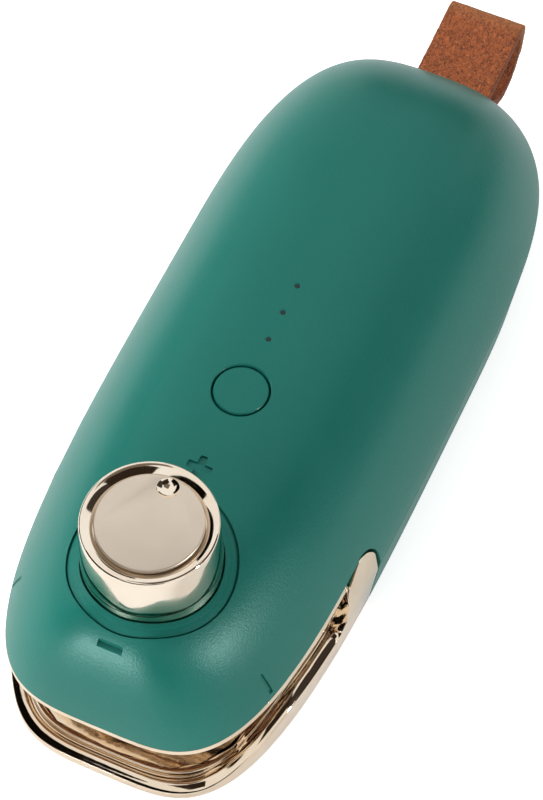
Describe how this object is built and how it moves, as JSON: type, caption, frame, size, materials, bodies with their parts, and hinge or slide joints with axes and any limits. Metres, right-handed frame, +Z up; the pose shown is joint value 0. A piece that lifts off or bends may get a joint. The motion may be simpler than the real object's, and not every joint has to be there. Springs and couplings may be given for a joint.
{
  "type": "mini bag sealer",
  "caption": "Hand-held mini heat sealer for bags: rounded green case, spring-open gilt jaw with a heated seal strip, dial knob, power button, indicator lamps and a leather loop.",
  "frame": {"origin": "under the middle of the case, on the flat underside of the base pad that the sealer stands on", "axes": "+Z up through the knob; +Y along the case from the mouth to the leather loop; +X to the right of someone looking along +Y"},
  "size_m": [0.043, 0.1213, 0.0385],
  "materials": {
    "case_green": "fine satin, deep teal green",
    "base_rubber": "matte",
    "gilt_plating": "pale gold electroplated plastic, mirror bright",
    "knob_gilt": "pale gold, polished",
    "knob_satin": "pale gold, satin with a polished dimple",
    "pad_silicone": "matte silicone",
    "heat_plastic": "heat resistant, matte",
    "ribbon_alloy": "plain resistance ribbon",
    "tape_cloth": "coated glass cloth tape",
    "bright_steel": "bright",
    "black_plastic": "matte",
    "board_green": "lacquered",
    "battery_foil": "foil pouch",
    "tan_leather": "tan-brown suede",
    "lamp_plastic": "smoked light pipe",
    "chip_white": "plain",
    "lead_rubber": "smooth sheath"
  },
  "bodies": {
    "case": {"top_shell": "case_green", "bottom_shell": "case_green", "base_pad": "base_rubber", "mouth_trim": "gilt_plating", "heater_holder": "heat_plastic", "heating_ribbon": "ribbon_alloy", "heater_tape": "tape_cloth", "jaw_pin": "bright_steel", "jaw_switch": "black_plastic", "dial_body": "black_plastic", "dial_nut": "bright_steel", "button_switch": "black_plastic", "circuit_board": "board_green", "port_board": "board_green", "usb_c_port": "bright_steel", "battery": "battery_foil", "strap_pin": "bright_steel", "lamp_lens_1": "lamp_plastic", "lamp_lens_2": "lamp_plastic", "lamp_lens_3": "lamp_plastic", "lamp_chip_1": "chip_white", "lamp_chip_2": "chip_white", "lamp_chip_3": "chip_white", "case_screw_1": "bright_steel", "case_screw_2": "bright_steel", "case_screw_3": "bright_steel", "case_screw_4": "bright_steel", "magnet_right": "bright_steel", "magnet_left": "bright_steel", "jaw_spring_right": "bright_steel", "jaw_spring_left": "bright_steel", "heater_lead_right": "lead_rubber", "heater_lead_left": "lead_rubber", "dial_lead": "lead_rubber", "battery_lead": "lead_rubber", "port_lead": "lead_rubber"},
    "jaw": {"lower_jaw": "gilt_plating", "jaw_carrier": "gilt_plating", "silicone_pad": "pad_silicone", "jaw_screw_right": "bright_steel", "jaw_screw_left": "bright_steel"},
    "knob": {"knob_cap": "knob_gilt", "knob_disc": "knob_satin", "dial_shaft": "bright_steel"},
    "button": {"power_button": "case_green"},
    "loop": {"strap": "tan_leather"}
  },
  "joints": [
    {"name": "jaw_hinge", "type": "hinge", "parent": "case", "child": "jaw", "pos_m": [0, -0.0209, 0.0139], "axis": [-1, 0, 0], "range_deg": [0, 14.5], "stiffness_Nm_per_rad": 0.3, "springref_deg": -17.19, "deforming": ["jaw_spring_right", "jaw_spring_left"]},
    {"name": "knob_turn", "type": "hinge", "parent": "case", "child": "knob", "pos_m": [0, -0.0371, 0.0335], "axis": [0, 0, 1], "range_deg": [0, 180]},
    {"name": "button_press", "type": "slide", "parent": "case", "child": "button", "axis": [0, 0, -1], "range_m": [0, 0.0006], "stiffness_N_per_m": 800, "springref_m": -0.0005},
    {"name": "strap_swing", "type": "hinge", "parent": "case", "child": "loop", "pos_m": [0.0011, 0.0478, 0.0119], "axis": [1, 0, 0], "range_deg": [-8, 8], "stiffness_Nm_per_rad": 0.02}
  ]
}
